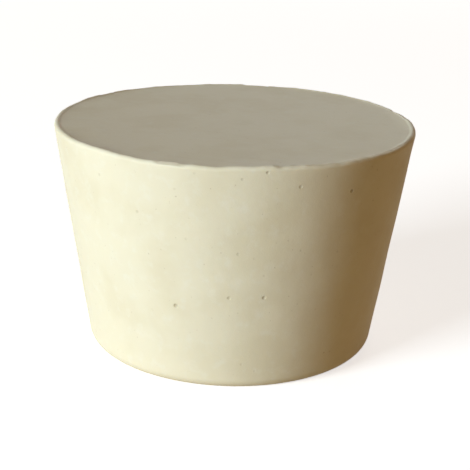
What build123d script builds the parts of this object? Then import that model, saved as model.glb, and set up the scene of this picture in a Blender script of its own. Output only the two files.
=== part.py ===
from build123d import *
import os

# Solid laboratory rubber stopper, standard size No. 8, moulded as one piece.
#
# It is a solid truncated cone with no hole through it. The tapered wall is what seals
# in the neck of a flask or bottle. The narrow end goes in first, and its edge has a
# generous moulded radius that leads it into the neck. The wide end is the head that
# the fingers hold, and its edge is trimmed almost sharp.
#
# Frame: millimetres, +Z up along the taper's axis. The origin is the centre of the
# narrow end's flat face, on which the stopper stands.

# Driving dimensions. The two diameters are where the wall's line meets the end faces,
# before the edges are rounded.
WIDE_END_DIAMETER = 41.0
NARROW_END_DIAMETER = 33.0
HEIGHT = 26.0
NARROW_EDGE_RADIUS = 1.6
WIDE_EDGE_RADIUS = 0.4

PARTS_FOLDER = "parts"


def tapered_plug():
    """The plain cone of the stopper, standing on its narrow end, with sharp edges."""
    return Cone(
        bottom_radius=NARROW_END_DIAMETER / 2,
        top_radius=WIDE_END_DIAMETER / 2,
        height=HEIGHT,
        align=(Align.CENTER, Align.CENTER, Align.MIN),
    )


def end_edges(plug):
    """The plug's circular edges, from the lowest to the highest."""
    return plug.edges().filter_by(GeomType.CIRCLE).sort_by(Axis.Z)


def stopper():
    """The finished stopper: the tapered plug with both of its end edges rounded."""
    plug = tapered_plug()
    plug = fillet(end_edges(plug).first, radius=NARROW_EDGE_RADIUS)
    plug = fillet(end_edges(plug).last, radius=WIDE_EDGE_RADIUS)
    plug.label = "stopper"
    return plug


os.makedirs(PARTS_FOLDER, exist_ok=True)
export_step(stopper(), os.path.join(PARTS_FOLDER, "stopper.step"))
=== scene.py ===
import math
import random

import bmesh
import bpy
import numpy as np
from mathutils import Matrix, Vector
from mathutils.kdtree import KDTree


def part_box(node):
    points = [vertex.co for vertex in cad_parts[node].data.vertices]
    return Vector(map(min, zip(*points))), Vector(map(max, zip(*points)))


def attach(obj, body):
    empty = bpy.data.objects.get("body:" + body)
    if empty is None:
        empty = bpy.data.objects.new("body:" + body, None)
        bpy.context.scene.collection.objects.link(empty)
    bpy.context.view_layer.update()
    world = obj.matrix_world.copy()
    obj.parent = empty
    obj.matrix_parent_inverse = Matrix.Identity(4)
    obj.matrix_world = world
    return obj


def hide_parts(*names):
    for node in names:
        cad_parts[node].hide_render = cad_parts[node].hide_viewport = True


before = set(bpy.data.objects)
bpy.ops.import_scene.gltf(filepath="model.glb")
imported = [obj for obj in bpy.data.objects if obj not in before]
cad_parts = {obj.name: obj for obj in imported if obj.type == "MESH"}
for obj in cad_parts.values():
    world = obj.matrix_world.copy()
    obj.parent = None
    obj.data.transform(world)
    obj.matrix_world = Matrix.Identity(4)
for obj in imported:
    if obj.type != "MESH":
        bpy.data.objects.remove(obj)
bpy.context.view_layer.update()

# A solid rubber stopper, size No. 8, standing on its narrow end on a pale table.
#
# The stopper's own mesh stands for the plain CAD cone. It is a turned skin on the same
# section, with what moulding, trimming and use leave on real rubber: a thin lip round
# the head, an uneven trimmed edge with worn stretches, and small round pits.
#
# Angles round the stopper are in degrees from the side that faces the camera, and grow
# towards the right. Heights are from the foot.

MM = 0.001

# The stopper's section. Its height comes from the frame.
NARROW_END_RADIUS = 16.5 * MM
WIDE_END_RADIUS = 20.5 * MM
FOOT_EDGE_RADIUS = 1.6 * MM
HEAD_EDGE_RADIUS = 0.4 * MM
foot_corner, head_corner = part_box("stopper")
HEIGHT = head_corner.z - foot_corner.z
TAPER = math.atan((WIDE_END_RADIUS - NARROW_END_RADIUS) / HEIGHT)

# The head is trimmed a little below its edge, which stands up as a thin lip.
LIP_HEIGHT = 0.08 * MM
LIP_WIDTH = 0.4 * MM
HEAD_DISH = 0.14 * MM

# How finely the skin is divided.
COLUMNS = 432
WALL_SPACING = 0.36 * MM
EDGE_SPACING = 0.08 * MM
FOOT_EDGE_SPACING = 0.2 * MM
FOOT_RINGS = 5
HEAD_RINGS = 14

# How far the trimmed edge stands above or below its mean height, in millimetres, at
# angles round the near side.
EDGE_RISE = (
    (-66, 0.00),
    (-58, 0.06),
    (-40, 0.06),
    (-36, 0.00),
    (-29, -0.03),
    (-26, 0.01),
    (-16.5, 0.06),
    (-14.5, -0.06),
    (-12, 0.00),
    (-7, -0.02),
    (-4.5, -0.07),
    (-1, 0.03),
    (6, 0.05),
    (11.5, 0.10),
    (13, -0.07),
    (16, 0.00),
    (30, -0.03),
    (32, -0.10),
    (34, -0.04),
    (37, 0.00),
    (42, -0.06),
    (47, 0.02),
    (53, -0.08),
    (60, 0.02),
    (68, 0.00),
)

# A finer wander is added all round: its size in millimetres, how many waves it has to
# the turn, and the number from which they weaken.
EDGE_WANDER = 0.03
EDGE_WAVES = (3, 5, 8, 13, 21, 34, 55, 89)
WEAKER_WAVES = 20

# How far trimming moves the skin, down from the head and in from the head's edge.
TRIM_HEIGHT = 1.2 * MM
TRIM_WIDTH = 0.9 * MM

# Stretches where the edge is worn to a sloping facet: from one angle to another, with
# the facet's width and drop in millimetres.
WORN_STRETCHES = (
    (-22.5, -15, 0.45, 0.20),
    (17, 31, 0.45, 0.06),
    (33, 64, 0.50, 0.10),
    (98, 112, 0.50, 0.18),
    (-131, -124, 0.40, 0.18),
    (168, 177, 0.45, 0.20),
)

# Each end of a worn stretch fades over so many degrees. Its lighter colour, partly worn
# rubber and partly a painted highlight, reaches so far below the head, and is full up to
# this share of the width from its middle.
WORN_ENDS = 1.2
WEAR_AND_HIGHLIGHT_HEIGHT = 0.5 * MM
WEAR_AND_HIGHLIGHT_FULL = 0.375

# The rubber is nowhere quite true. Its faces swell and sink in long waves, whose lengths
# are in millimetres, with these slopes on the head and on the wall.
SWELL_LENGTHS = (15, 12, 9.5, 7.5, 6, 5)
HEAD_SWELL = 0.0035
WALL_SWELL = 0.008

# Pits on the near side: angle and height in degrees and millimetres, width in
# millimetres, and how deep they are and how much painted shade darkens them, from 0 to 1.
NEAR_PITS = (
    (-44, 23.2, 0.34, 0.30),
    (-30, 20.1, 0.38, 0.35),
    (-18.5, 9.9, 0.50, 0.65),
    (-17, 23.3, 0.30, 0.20),
    (-14, 17.9, 0.34, 0.20),
    (-11, 25.2, 0.30, 0.20),
    (-0.5, 11.4, 0.42, 0.45),
    (2.5, 24.8, 0.34, 0.25),
    (2, 16.5, 0.36, 0.30),
    (4.5, 3.3, 0.32, 0.20),
    (7, 16.0, 0.28, 0.15),
    (9.5, 25.5, 0.38, 0.50),
    (9.5, 2.4, 0.30, 0.20),
    (10.5, 14.0, 0.30, 0.20),
    (11, 11.4, 0.46, 0.50),
    (19.5, 23.8, 0.40, 0.30),
    (22, 16.6, 0.30, 0.20),
    (27, 13.6, 0.28, 0.15),
    (36, 15.8, 0.30, 0.20),
    (37.5, 22.6, 0.42, 0.70),
)

# Pits on the far side, which isn't seen: how many there are, and between which angles
# and heights. A pit is wider the stronger it is.
FAR_PIT_COUNT = 34
FAR_PIT_ANGLES = (75, 285)
FAR_PIT_HEIGHTS = (3, 25)
FAR_PIT_STRENGTHS = (0.2, 0.2, 0.35, 0.65)
FAR_PIT_WIDTH = 0.28
FAR_PIT_WIDENING = 0.16

# A pit's depth as a share of its width, at a strength of 1, and how blunt its bottom is.
PIT_DEPTH = 0.24
PIT_BLUNTNESS = 0.75

# Painted shade darkens a pit fully up to one share of its half width, and fades out at
# another.
PIT_SHADE_FULL = 0.65
PIT_SHADE_ENDS = 1.25

# The skin is divided once within each of these distances from a pit's middle.
DIVIDED_REACHES = (0.6 * MM, 0.42 * MM, 0.3 * MM)

# All random draws start from this seed.
SEED = 8


# ---------------------------------------------------------------- the skin

def around(angle, distance, height):
    """The place at that angle round the axis, that far from it, and that high."""
    turn = math.radians(angle)
    return (distance * math.sin(turn), -distance * math.cos(turn), height)


def smooth_step(value, low, high):
    """0 at low, 1 at high, and a smooth rise between, where high may be the smaller."""
    share = np.clip((value - low) / (high - low), 0, 1)
    return share * share * (3 - 2 * share)


def wall_radius(height):
    """How far the wall's line is from the axis at that height."""
    return NARROW_END_RADIUS + height * math.tan(TAPER)


def arc(middle, radius, start, end, spacing):
    """Points along an arc of the section, between two directions in radians."""
    count = math.ceil(abs(end - start) * radius / spacing)
    turns = [start + (end - start) * i / count for i in range(count + 1)]
    return [(middle[0] + radius * math.cos(t), middle[1] + radius * math.sin(t)) for t in turns]


def line(start, end, count):
    """Points between two points of the section, without the points themselves."""
    shares = [i / count for i in range(1, count)]
    return [tuple(a + (b - a) * share for a, b in zip(start, end)) for share in shares]


def edge_middle(height, radius):
    """The middle of a rounding between the wall and an end face."""
    return (wall_radius(height) - radius / math.cos(TAPER), height)


def section():
    """The section from the foot's middle to the head's, as distances and heights."""
    foot = edge_middle(FOOT_EDGE_RADIUS, FOOT_EDGE_RADIUS)
    head = edge_middle(HEIGHT - HEAD_EDGE_RADIUS, HEAD_EDGE_RADIUS)
    down, out, up = -math.pi / 2, -TAPER, math.pi / 2
    foot_arc = arc(foot, FOOT_EDGE_RADIUS, down, out, FOOT_EDGE_SPACING)
    head_arc = arc(head, HEAD_EDGE_RADIUS, out, up, EDGE_SPACING)

    points = [(0, 0)] + line((0, 0), foot_arc[0], FOOT_RINGS)
    points += foot_arc
    points += line(foot_arc[-1], head_arc[0], round(HEIGHT / WALL_SPACING))
    points += head_arc

    lip_rings = round(LIP_WIDTH / EDGE_SPACING)
    for i in range(1, lip_rings + 1):
        share = i / lip_rings
        fall = LIP_HEIGHT * smooth_step(share, 0, 1)
        points.append((head[0] - LIP_WIDTH * share, HEIGHT - fall))
    inner = points[-1][0]
    for i in range(1, HEAD_RINGS + 1):
        share = 1 - i / HEAD_RINGS
        dish = HEAD_DISH * (1 - share * share)
        points.append((inner * share, HEIGHT - LIP_HEIGHT - dish))
    return points


def turned(points):
    """A closed mesh turned from a section whose first and last points are on the axis."""
    skin = bmesh.new()
    angles = [360 * column / COLUMNS for column in range(COLUMNS)]
    rings = []
    for distance, height in points[1:-1]:
        rings.append([skin.verts.new(around(angle, distance, height)) for angle in angles])
    foot = skin.verts.new((0, 0, points[0][1]))
    head = skin.verts.new((0, 0, points[-1][1]))
    for column in range(COLUMNS):
        beside = (column + 1) % COLUMNS
        skin.faces.new((foot, rings[0][beside], rings[0][column]))
        for low, high in zip(rings, rings[1:]):
            skin.faces.new((low[column], low[beside], high[beside], high[column]))
        skin.faces.new((rings[-1][column], rings[-1][beside], head))
    return skin


def all_pits():
    """Each pit's middle, on the wall, its width, both in metres, and its strength."""
    rng = random.Random(SEED)
    pits = list(NEAR_PITS)
    for _ in range(FAR_PIT_COUNT):
        angle = rng.uniform(*FAR_PIT_ANGLES)
        height = rng.uniform(*FAR_PIT_HEIGHTS)
        strength = rng.choice(FAR_PIT_STRENGTHS)
        width = FAR_PIT_WIDTH + FAR_PIT_WIDENING * strength
        pits.append((angle, height, width, strength))
    placed = []
    for angle, height, width, strength in pits:
        middle = around(angle, wall_radius(height * MM), height * MM)
        placed.append((middle, width * MM, strength))
    return placed


def divide_near(skin, tree, reach):
    """Divides the skin's faces that are within reach of a pit into four."""
    edges = set()
    for face in skin.faces:
        if tree.find(face.calc_center_median())[2] < reach:
            edges.update(face.edges)
    bmesh.ops.subdivide_edges(skin, edges=list(edges), cuts=1, use_grid_fill=True)


def edge_rise(angles):
    """How far the trimmed edge stands from its mean height at these angles, in metres."""
    rng = random.Random(SEED)
    wander = np.zeros_like(angles)
    for waves in EDGE_WAVES:
        phase = rng.uniform(0, 2 * math.pi)
        wander += np.sin(np.radians(angles) * waves + phase) / (1 + waves / WEAKER_WAVES)
    seen_at, seen = zip(*EDGE_RISE)
    near = np.interp(angles, seen_at, seen)
    return (near + EDGE_WANDER * wander) * MM


def swell(places):
    """Moves the points of the head and the wall in and out a little, in long waves.

    The rounded edges stay as they are, and the waves fade out towards them."""
    rng = random.Random(SEED)
    waves = np.zeros(len(places))
    for length in SWELL_LENGTHS:
        direction = Vector([rng.gauss(0, 1) for _ in range(3)]).normalized()
        turns = places @ np.array(direction) / (length * MM) + rng.random()
        waves += length * MM / (2 * math.pi) * np.sin(2 * math.pi * turns)
    distance = np.hypot(places[:, 0], places[:, 1])
    below = HEIGHT - places[:, 2]
    on_head = smooth_step(WIDE_END_RADIUS - distance, 0.8 * MM, 2.8 * MM) * (below < MM)
    on_wall = smooth_step(below, 0.8 * MM, 2.8 * MM) * smooth_step(places[:, 2], 2 * MM, 6 * MM)
    places[:, 2] += waves * HEAD_SWELL * on_head
    places[:, :2] *= 1 + (waves * WALL_SWELL * on_wall / np.maximum(distance, MM))[:, None]


def trim(places):
    """Moves the points near the head's edge as trimming and wear left it.

    It says how much each point gets the lighter colour, partly of wear and partly a painted
    highlight."""
    distance = np.hypot(places[:, 0], places[:, 1])
    angle = np.degrees(np.arctan2(places[:, 0], -places[:, 1]))
    below = HEIGHT - places[:, 2]
    inside = WIDE_END_RADIUS - HEAD_EDGE_RADIUS - distance
    weight = smooth_step(below, TRIM_HEIGHT, 0) * smooth_step(inside, TRIM_WIDTH, 0)
    rise = edge_rise(angle) * weight
    places[:, 2] += rise
    # The lighter colour on a worn stretch is partly worn rubber and partly a painted highlight.
    wear_and_highlight = np.zeros(len(places))
    for start, end, width, drop in WORN_STRETCHES:
        width, drop = width * MM, drop * MM
        away, half = abs(angle - (start + end) / 2), (end - start) / 2
        share = smooth_step(away, half + WORN_ENDS / 2, half - WORN_ENDS / 2)
        out = distance - (WIDE_END_RADIUS - HEAD_EDGE_RADIUS / 2 - width)
        facet = HEIGHT + rise - drop * out / width
        cut = np.maximum(places[:, 2] - facet, 0) * share * (out > 0)
        places[:, 2] -= cut
        reach = np.abs(out - width / 2) / width
        share *= smooth_step(reach, 1, WEAR_AND_HIGHLIGHT_FULL) * (below < WEAR_AND_HIGHLIGHT_HEIGHT)
        wear_and_highlight = np.maximum(wear_and_highlight, share)
    return wear_and_highlight


def sink_pits(places, pits):
    """Moves points down into the pits, and says how much painted shade darkens each point."""
    pit_shade = np.zeros(len(places))
    for middle, width, strength in pits:
        away = np.linalg.norm(places - np.array(middle), axis=1) / (width / 2)
        share = np.clip(1 - away ** 2, 0, 1) ** PIT_BLUNTNESS
        near = share > 0
        inward = -np.array((middle[0], middle[1], 0)) / math.hypot(middle[0], middle[1])
        places[near] += inward * (PIT_DEPTH * strength * width * share[near])[:, None]
        # Painted shade: each pit's colour is darkened by its strength, most near its middle.
        pit_shade = np.maximum(pit_shade, strength * smooth_step(away, PIT_SHADE_ENDS, PIT_SHADE_FULL))
    return pit_shade


def make_stopper():
    """The stopper's skin as one closed mesh, with its pits and its trimmed edge."""
    skin = turned(section())
    pits = all_pits()
    tree = KDTree(len(pits))
    for i, (middle, _, _) in enumerate(pits):
        tree.insert(middle, i)
    tree.balance()
    for reach in DIVIDED_REACHES:
        divide_near(skin, tree, reach)
    mesh = bpy.data.meshes.new("stopper_rubber")
    skin.to_mesh(mesh)
    skin.free()

    places = np.empty(len(mesh.vertices) * 3, np.float32)
    mesh.vertices.foreach_get("co", places)
    places = places.reshape(-1, 3).astype(float)
    swell(places)
    wear_and_highlight = trim(places)
    pit_shade = sink_pits(places, pits)
    places[:, 2] += foot_corner.z
    mesh.vertices.foreach_set("co", places.ravel())
    for name, values in (("pit_shade", pit_shade), ("wear_and_highlight", wear_and_highlight)):
        layer = mesh.attributes.new(name, "FLOAT", "POINT")
        layer.data.foreach_set("value", values.astype(np.float32))
    mesh.shade_smooth()
    mesh.update()
    piece = bpy.data.objects.new("stopper_rubber", mesh)
    bpy.context.scene.collection.objects.link(piece)
    return piece


# ---------------------------------------------------------------- materials

def new_material(name):
    """An empty node material, with its nodes and links, and a shader that it shows."""
    material = bpy.data.materials.new(name)
    material.use_nodes = True
    tree = material.node_tree
    tree.nodes.clear()
    output = tree.nodes.new("ShaderNodeOutputMaterial")
    shader = tree.nodes.new("ShaderNodeBsdfPrincipled")
    tree.links.new(shader.outputs["BSDF"], output.inputs["Surface"])
    return material, tree, shader


def attribute(tree, name):
    """The values that the mesh holds under that name."""
    node = tree.nodes.new("ShaderNodeAttribute")
    node.attribute_name = name
    return node.outputs["Fac"]


def noise(tree, place, size, detail=2.0, roughness=0.5):
    """Noise with features of about that size, in metres."""
    node = tree.nodes.new("ShaderNodeTexNoise")
    node.inputs["Scale"].default_value = 1 / size
    node.inputs["Detail"].default_value = detail
    node.inputs["Roughness"].default_value = roughness
    tree.links.new(place, node.inputs["Vector"])
    return node.outputs["Fac"]


def ramp(tree, value, low, high, to_low=0.0, to_high=1.0):
    """The value carried from one range to another, smoothly, and held at its ends."""
    node = tree.nodes.new("ShaderNodeMapRange")
    node.interpolation_type = "SMOOTHSTEP"
    node.inputs["From Min"].default_value = low
    node.inputs["From Max"].default_value = high
    node.inputs["To Min"].default_value = to_low
    node.inputs["To Max"].default_value = to_high
    tree.links.new(value, node.inputs["Value"])
    return node.outputs["Result"]


def times(tree, first, second):
    """The product of two values, each a socket or a number."""
    node = tree.nodes.new("ShaderNodeMath")
    node.operation = "MULTIPLY"
    for value, socket in ((first, node.inputs[0]), (second, node.inputs[1])):
        if isinstance(value, float):
            socket.default_value = value
        else:
            tree.links.new(value, socket)
    return node.outputs["Value"]


def blend(tree, share, base, over):
    """A colour between two colours, each a socket or three numbers."""
    node = tree.nodes.new("ShaderNodeMix")
    node.data_type = "RGBA"
    tree.links.new(share, node.inputs["Factor"])
    for colour, socket in ((base, node.inputs["A"]), (over, node.inputs["B"])):
        if isinstance(colour, tuple):
            socket.default_value = (*colour, 1)
        else:
            tree.links.new(colour, socket)
    return node.outputs["Result"]


def bump(tree, height, distance, strength, normal=None):
    """A normal bent by a height, on top of another normal if there is one."""
    node = tree.nodes.new("ShaderNodeBump")
    node.inputs["Distance"].default_value = distance
    node.inputs["Strength"].default_value = strength
    tree.links.new(height, node.inputs["Height"])
    if normal is not None:
        tree.links.new(normal, node.inputs["Normal"])
    return node.outputs["Normal"]


RUBBER = (0.78, 0.72, 0.54)
RUBBER_CLOUD = (0.73, 0.66, 0.47)
RUBBER_CHALK = (0.82, 0.79, 0.66)
# A lighter, warmer colour for the worn stretches of the head's edge: partly worn rubber, partly
# a painted highlight.
RUBBER_WEAR_AND_HIGHLIGHT = (0.86, 0.79, 0.60)
RUBBER_SPECK = (0.50, 0.42, 0.27)
# A dark brown painted into the pits as the shade inside them.
PIT_PAINTED_SHADE = (0.27, 0.21, 0.12)


def rubber():
    """Natural-coloured moulded rubber: matt, faintly cloudy, finely grained."""
    material, tree, shader = new_material("natural_rubber")
    place = tree.nodes.new("ShaderNodeTexCoord").outputs["Object"]
    clouds = ramp(tree, noise(tree, place, 6 * MM, 3.0), 0.42, 0.66)
    patches = ramp(tree, noise(tree, place, 1.3 * MM, 3.0, 0.6), 0.5, 0.75)
    specks = ramp(tree, noise(tree, place, 0.35 * MM, 1.0), 0.74, 0.8)
    grain = noise(tree, place, 0.16 * MM, 3.0, 0.6)

    colour = blend(tree, times(tree, clouds, 0.7), RUBBER, RUBBER_CLOUD)
    colour = blend(tree, times(tree, patches, 0.35), colour, RUBBER_CHALK)
    colour = blend(tree, times(tree, specks, 0.5), colour, RUBBER_SPECK)
    unevenly = ramp(tree, noise(tree, place, 0.9 * MM), 0.25, 0.6)
    wear_and_highlight = times(tree, attribute(tree, "wear_and_highlight"), unevenly)
    # Partly worn rubber and partly a painted highlight: the worn stretches of the head's edge
    # are lightened and warmed.
    colour = blend(tree, wear_and_highlight, colour, RUBBER_WEAR_AND_HIGHLIGHT)
    # Painted shade: the pits are darkened towards a dark brown, standing in for the shade
    # inside them.
    colour = blend(tree, times(tree, attribute(tree, "pit_shade"), 0.55), colour, PIT_PAINTED_SHADE)
    tree.links.new(colour, shader.inputs["Base Color"])
    tree.links.new(ramp(tree, patches, 0, 1, 0.62, 0.72), shader.inputs["Roughness"])

    orange_peel = bump(tree, noise(tree, place, 0.8 * MM, 2.0), 0.03 * MM, 0.5)
    fine = bump(tree, grain, 0.015 * MM, 0.6, orange_peel)
    tree.links.new(fine, shader.inputs["Normal"])
    shader.inputs["Specular IOR Level"].default_value = 0.15
    shader.inputs["Subsurface Weight"].default_value = 0.08
    shader.inputs["Subsurface Radius"].default_value = (1.0, 0.7, 0.35)
    shader.inputs["Subsurface Scale"].default_value = 0.6 * MM
    return material


# ---------------------------------------------------------------- the stage

FLOOR_SIZE = 6.0
FLOOR_BOUNCE = (0.60, 0.45, 0.22)
FLOOR_SEEN = (0.90, 0.90, 0.90)

# The floor's own glow near the stopper and far from it, and those distances in metres.
NEAR_GLOW = 0.68
FAR_GLOW = 1.0
NEAR = 0.15
FAR = 1.2


def white_where_seen(tree, plain, seen):
    """One shader for what the camera sees, also by way of gloss or glass, or another."""
    path = tree.nodes.new("ShaderNodeLightPath")
    share = path.outputs["Is Camera Ray"]
    for name in ("Is Glossy Ray", "Is Transmission Ray"):
        either = tree.nodes.new("ShaderNodeMath")
        either.operation = "MAXIMUM"
        tree.links.new(share, either.inputs[0])
        tree.links.new(path.outputs[name], either.inputs[1])
        share = either.outputs["Value"]
    mix = tree.nodes.new("ShaderNodeMixShader")
    tree.links.new(share, mix.inputs["Fac"])
    tree.links.new(plain, mix.inputs[1])
    tree.links.new(seen, mix.inputs[2])
    return mix.outputs["Shader"]


def pale_table():
    """A matt floor that the camera sees as white, with the stopper's shadow kept.

    Its own glow grows with distance, where the lamps fade."""
    material, tree, shader = new_material("pale_table")
    shader.inputs["Base Color"].default_value = (*FLOOR_BOUNCE, 1)
    shader.inputs["Roughness"].default_value = 1.0
    shader.inputs["Specular IOR Level"].default_value = 0.0
    matt = tree.nodes.new("ShaderNodeBsdfDiffuse")
    matt.inputs["Color"].default_value = (*FLOOR_SEEN, 1)
    glow = tree.nodes.new("ShaderNodeEmission")
    reach = tree.nodes.new("ShaderNodeVectorMath")
    reach.operation = "LENGTH"
    place = tree.nodes.new("ShaderNodeNewGeometry").outputs["Position"]
    tree.links.new(place, reach.inputs[0])
    strength = ramp(tree, reach.outputs["Value"], NEAR, FAR, NEAR_GLOW, FAR_GLOW)
    tree.links.new(strength, glow.inputs["Strength"])
    both = tree.nodes.new("ShaderNodeAddShader")
    tree.links.new(matt.outputs["BSDF"], both.inputs[0])
    tree.links.new(glow.outputs["Emission"], both.inputs[1])
    shown = white_where_seen(tree, shader.outputs["BSDF"], both.outputs["Shader"])
    tree.links.new(shown, tree.nodes["Material Output"].inputs["Surface"])
    return material


def table_top():
    """A plain pale floor."""
    mesh = bpy.data.meshes.new("table_top")
    half = FLOOR_SIZE / 2
    corners = [(-half, -half, 0), (half, -half, 0), (half, half, 0), (-half, half, 0)]
    mesh.from_pydata(corners, [], [(0, 1, 2, 3)])
    floor = bpy.data.objects.new("table_top", mesh)
    bpy.context.scene.collection.objects.link(floor)
    mesh.materials.append(pale_table())


# Each lamp's name, azimuth and elevation in degrees, size in metres, watts and colour.
LAMPS = (
    ("window", -50, 12, 0.4, 13.5, (0.80, 0.91, 1.0)),
    ("back_light", 170, 16, 0.6, 2.1, (0.78, 0.90, 1.0)),
    ("warm_fill", 90, 9, 0.3, 0.7, (1.0, 0.5, 0.2)),
)


def softbox(name, azimuth, elevation, size, power, colour):
    """A square lamp a metre from the stopper, in the direction given in degrees."""
    lamp = bpy.data.lights.new(name, "AREA")
    lamp.shape = "SQUARE"
    lamp.size = size
    lamp.energy = power
    lamp.color = colour
    rise = math.radians(elevation)
    direction = Vector(around(azimuth, math.cos(rise), math.sin(rise)))
    holder = bpy.data.objects.new(name, lamp)
    holder.location = (foot_corner + head_corner) / 2 + direction
    holder.rotation_mode = "QUATERNION"
    holder.rotation_quaternion = direction.to_track_quat("Z", "Y")
    bpy.context.scene.collection.objects.link(holder)


ROOM_COLOUR = (1.0, 0.60, 0.20)
ROOM_STRENGTH = 0.125


def room():
    """A dim warm room, which the camera sees as white."""
    world = bpy.data.worlds.new("room")
    bpy.context.scene.world = world
    world.use_nodes = True
    tree = world.node_tree
    tree.nodes.clear()
    output = tree.nodes.new("ShaderNodeOutputWorld")
    dim = tree.nodes.new("ShaderNodeBackground")
    dim.inputs["Color"].default_value = (*ROOM_COLOUR, 1)
    dim.inputs["Strength"].default_value = ROOM_STRENGTH
    white = tree.nodes.new("ShaderNodeBackground")
    white.inputs["Color"].default_value = (1, 1, 1, 1)
    white.inputs["Strength"].default_value = 1.0
    shown = white_where_seen(tree, dim.outputs["Background"], white.outputs["Background"])
    tree.links.new(shown, output.inputs["Surface"])


# The camera's place from the middle of the foot, its lens and sensor in millimetres, and
# how far it is turned to the right, tilted down and rolled.
CAMERA_PLACE = Vector((0.0, -135.8 * MM, 57.95 * MM))
CAMERA_LENS = 93.3
CAMERA_SENSOR = 36.0
CAMERA_TURN = math.radians(0.14)
CAMERA_TILT = math.radians(18.64)
CAMERA_ROLL = math.radians(1.57)


def camera():
    """A camera in front of the stopper, looking down a little and slightly rolled."""
    data = bpy.data.cameras.new("camera")
    data.lens = CAMERA_LENS
    data.sensor_width = CAMERA_SENSOR
    data.clip_start = 0.01
    data.clip_end = 10.0
    holder = bpy.data.objects.new("camera", data)
    bpy.context.scene.collection.objects.link(holder)
    holder.matrix_world = (
        Matrix.Translation(CAMERA_PLACE)
        @ Matrix.Rotation(-CAMERA_TURN, 4, "Z")
        @ Matrix.Rotation(math.pi / 2 - CAMERA_TILT, 4, "X")
        @ Matrix.Rotation(CAMERA_ROLL, 4, "Z")
    )
    bpy.context.scene.camera = holder


# ---------------------------------------------------------------- the scene

stopper = make_stopper()
stopper.data.materials.append(rubber())
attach(stopper, "root")
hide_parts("stopper")

table_top()
for lamp in LAMPS:
    softbox(*lamp)
room()
camera()
bpy.context.scene.view_settings.view_transform = "Standard"
